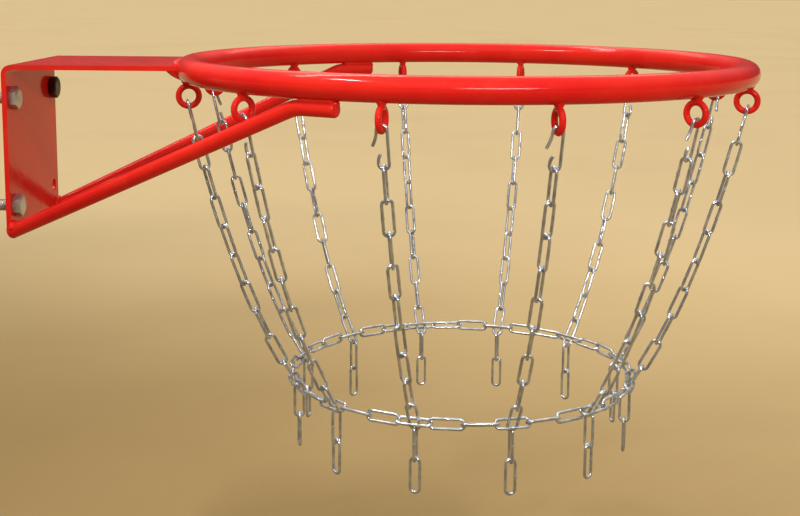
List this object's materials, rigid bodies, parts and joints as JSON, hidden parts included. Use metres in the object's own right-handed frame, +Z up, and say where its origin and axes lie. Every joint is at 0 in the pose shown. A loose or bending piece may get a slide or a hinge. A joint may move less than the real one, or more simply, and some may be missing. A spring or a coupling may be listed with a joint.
{
  "type": "basketball ring with chain net",
  "caption": "Steel ring welded to a bent wall plate with bent round braces, and an open tapered net of long-link chain that hangs from eyelets down to a lower ring of chain.",
  "frame": {"origin": "on the wall leg's back face, at the centre of its rectangle of bolt holes", "axes": "+X away from the wall, +Z up, +Y to the left of somebody who looks out from the wall"},
  "size_m": [0.651, 0.49, 0.3369],
  "materials": {
    "red_paint": "glossy",
    "zinc_chain": "bright zinc plated",
    "bolt_zinc": "dull zinc plated",
    "bolt_black": "blackened, satin"
  },
  "bodies": {
    "ring_and_bracket": {"rim_ring": "red_paint", "bracket_plate": "red_paint", "brace_near": "red_paint", "brace_far": "red_paint", "bolt_near_top": "bolt_zinc", "bolt_near_bottom": "bolt_zinc", "bolt_far_top": "bolt_black", "eyelet_01": "red_paint", "eyelet_02": "red_paint", "eyelet_03": "red_paint", "eyelet_04": "red_paint", "eyelet_05": "red_paint", "eyelet_06": "red_paint", "eyelet_07": "red_paint", "eyelet_08": "red_paint", "eyelet_09": "red_paint", "eyelet_10": "red_paint", "eyelet_11": "red_paint", "eyelet_12": "red_paint"},
    "strand_01": {"hook_link_01": "zinc_chain", "chain_strand_01": "zinc_chain"},
    "strand_02": {"hook_link_02": "zinc_chain", "chain_strand_02": "zinc_chain"},
    "strand_03": {"hook_link_03": "zinc_chain", "chain_strand_03": "zinc_chain"},
    "strand_04": {"hook_link_04": "zinc_chain", "chain_strand_04": "zinc_chain"},
    "strand_05": {"hook_link_05": "zinc_chain", "chain_strand_05": "zinc_chain"},
    "strand_06": {"hook_link_06": "zinc_chain", "chain_strand_06": "zinc_chain"},
    "strand_07": {"hook_link_07": "zinc_chain", "chain_strand_07": "zinc_chain"},
    "strand_08": {"hook_link_08": "zinc_chain", "chain_strand_08": "zinc_chain"},
    "strand_09": {"hook_link_09": "zinc_chain", "chain_strand_09": "zinc_chain"},
    "strand_10": {"hook_link_10": "zinc_chain", "chain_strand_10": "zinc_chain"},
    "strand_11": {"hook_link_11": "zinc_chain", "chain_strand_11": "zinc_chain"},
    "strand_12": {"hook_link_12": "zinc_chain", "chain_strand_12": "zinc_chain"},
    "lower_ring": {"lower_ring_chain": "zinc_chain"},
    "tail_01": {"chain_tail_01": "zinc_chain"},
    "tail_02": {"chain_tail_02": "zinc_chain"},
    "tail_03": {"chain_tail_03": "zinc_chain"},
    "tail_04": {"chain_tail_04": "zinc_chain"},
    "tail_05": {"chain_tail_05": "zinc_chain"},
    "tail_06": {"chain_tail_06": "zinc_chain"},
    "tail_07": {"chain_tail_07": "zinc_chain"},
    "tail_08": {"chain_tail_08": "zinc_chain"},
    "tail_09": {"chain_tail_09": "zinc_chain"},
    "tail_10": {"chain_tail_10": "zinc_chain"},
    "tail_11": {"chain_tail_11": "zinc_chain"},
    "tail_12": {"chain_tail_12": "zinc_chain"}
  },
  "joints": [
    {"name": "net_sway", "type": "hinge", "parent": "ring_and_bracket", "child": "strand_04", "pos_m": [0.31918, 0.22699, 0.0402], "axis": [0, 1, 0], "range_deg": [-6, 6]},
    {"name": "strand_01_swing", "type": "hinge", "parent": "ring_and_bracket", "child": "strand_01", "pos_m": [0.60699, 0.06082, 0.0402], "axis": [0, 1, 0], "range_deg": [-6.5, 6.5]},
    {"name": "strand_02_swing", "type": "hinge", "parent": "ring_and_bracket", "child": "strand_02", "pos_m": [0.54617, 0.16617, 0.0402], "axis": [0, 1, 0], "range_deg": [-6.5, 6.5]},
    {"name": "strand_03_swing", "type": "hinge", "parent": "ring_and_bracket", "child": "strand_03", "pos_m": [0.44082, 0.22699, 0.0402], "axis": [0, 1, 0], "range_deg": [-6.5, 6.5]},
    {"name": "strand_05_swing", "type": "hinge", "parent": "ring_and_bracket", "child": "strand_05", "pos_m": [0.21383, 0.16617, 0.0402], "axis": [0, 1, 0], "range_deg": [-6.5, 6.5]},
    {"name": "strand_06_swing", "type": "hinge", "parent": "ring_and_bracket", "child": "strand_06", "pos_m": [0.15301, 0.06082, 0.0402], "axis": [0, 1, 0], "range_deg": [-6.5, 6.5]},
    {"name": "strand_07_swing", "type": "hinge", "parent": "ring_and_bracket", "child": "strand_07", "pos_m": [0.15301, -0.06082, 0.0402], "axis": [0, 1, 0], "range_deg": [-6.5, 6.5]},
    {"name": "strand_08_swing", "type": "hinge", "parent": "ring_and_bracket", "child": "strand_08", "pos_m": [0.21383, -0.16617, 0.0402], "axis": [0, 1, 0], "range_deg": [-6.5, 6.5]},
    {"name": "strand_09_swing", "type": "hinge", "parent": "ring_and_bracket", "child": "strand_09", "pos_m": [0.31918, -0.22699, 0.0402], "axis": [0, 1, 0], "range_deg": [-6.5, 6.5]},
    {"name": "strand_10_swing", "type": "hinge", "parent": "ring_and_bracket", "child": "strand_10", "pos_m": [0.44082, -0.22699, 0.0402], "axis": [0, 1, 0], "range_deg": [-6.5, 6.5]},
    {"name": "strand_11_swing", "type": "hinge", "parent": "ring_and_bracket", "child": "strand_11", "pos_m": [0.54617, -0.16617, 0.0402], "axis": [0, 1, 0], "range_deg": [-6.5, 6.5]},
    {"name": "strand_12_swing", "type": "hinge", "parent": "ring_and_bracket", "child": "strand_12", "pos_m": [0.60699, -0.06082, 0.0402], "axis": [0, 1, 0], "range_deg": [-6.5, 6.5]},
    {"name": "lower_ring_tilt", "type": "hinge", "parent": "strand_04", "child": "lower_ring", "pos_m": [0.34154, 0.14353, -0.19736], "axis": [0, 1, 0], "range_deg": [-10.5, 10.5]},
    {"name": "tail_01_swing", "type": "hinge", "parent": "strand_01", "child": "tail_01", "pos_m": [0.51924, 0.03731, -0.2045], "axis": [-0.2588, 0.9659, 0], "range_deg": [-30, 30]},
    {"name": "tail_02_swing", "type": "hinge", "parent": "strand_02", "child": "tail_02", "pos_m": [0.48193, 0.10193, -0.2045], "axis": [-0.7071, 0.7071, 0], "range_deg": [-30, 30]},
    {"name": "tail_03_swing", "type": "hinge", "parent": "strand_03", "child": "tail_03", "pos_m": [0.41731, 0.13924, -0.2045], "axis": [-0.9659, 0.2588, 0], "range_deg": [-30, 30]},
    {"name": "tail_04_swing", "type": "hinge", "parent": "strand_04", "child": "tail_04", "pos_m": [0.34269, 0.13924, -0.2045], "axis": [-0.9659, -0.2588, 0], "range_deg": [-30, 30]},
    {"name": "tail_05_swing", "type": "hinge", "parent": "strand_05", "child": "tail_05", "pos_m": [0.27807, 0.10193, -0.2045], "axis": [-0.7071, -0.7071, 0], "range_deg": [-30, 30]},
    {"name": "tail_06_swing", "type": "hinge", "parent": "strand_06", "child": "tail_06", "pos_m": [0.24076, 0.03731, -0.2045], "axis": [-0.2588, -0.9659, 0], "range_deg": [-30, 30]},
    {"name": "tail_07_swing", "type": "hinge", "parent": "strand_07", "child": "tail_07", "pos_m": [0.24076, -0.03731, -0.2045], "axis": [0.2588, -0.9659, 0], "range_deg": [-30, 30]},
    {"name": "tail_08_swing", "type": "hinge", "parent": "strand_08", "child": "tail_08", "pos_m": [0.27807, -0.10193, -0.2045], "axis": [0.7071, -0.7071, 0], "range_deg": [-30, 30]},
    {"name": "tail_09_swing", "type": "hinge", "parent": "strand_09", "child": "tail_09", "pos_m": [0.34269, -0.13924, -0.2045], "axis": [0.9659, -0.2588, 0], "range_deg": [-30, 30]},
    {"name": "tail_10_swing", "type": "hinge", "parent": "strand_10", "child": "tail_10", "pos_m": [0.41731, -0.13924, -0.2045], "axis": [0.9659, 0.2588, 0], "range_deg": [-30, 30]},
    {"name": "tail_11_swing", "type": "hinge", "parent": "strand_11", "child": "tail_11", "pos_m": [0.48193, -0.10193, -0.2045], "axis": [0.7071, 0.7071, 0], "range_deg": [-30, 30]},
    {"name": "tail_12_swing", "type": "hinge", "parent": "strand_12", "child": "tail_12", "pos_m": [0.51924, -0.03731, -0.2045], "axis": [0.2588, 0.9659, 0], "range_deg": [-30, 30]}
  ],
  "couplings": [
    {"joint": "strand_01_swing", "follows": "net_sway", "ratio": 1},
    {"joint": "strand_02_swing", "follows": "net_sway", "ratio": 1},
    {"joint": "strand_03_swing", "follows": "net_sway", "ratio": 1},
    {"joint": "strand_05_swing", "follows": "net_sway", "ratio": 1},
    {"joint": "strand_06_swing", "follows": "net_sway", "ratio": 1},
    {"joint": "strand_07_swing", "follows": "net_sway", "ratio": 1},
    {"joint": "strand_08_swing", "follows": "net_sway", "ratio": 1},
    {"joint": "strand_09_swing", "follows": "net_sway", "ratio": 1},
    {"joint": "strand_10_swing", "follows": "net_sway", "ratio": 1},
    {"joint": "strand_11_swing", "follows": "net_sway", "ratio": 1},
    {"joint": "strand_12_swing", "follows": "net_sway", "ratio": 1},
    {"joint": "lower_ring_tilt", "follows": "net_sway", "ratio": -1.5815}
  ]
}
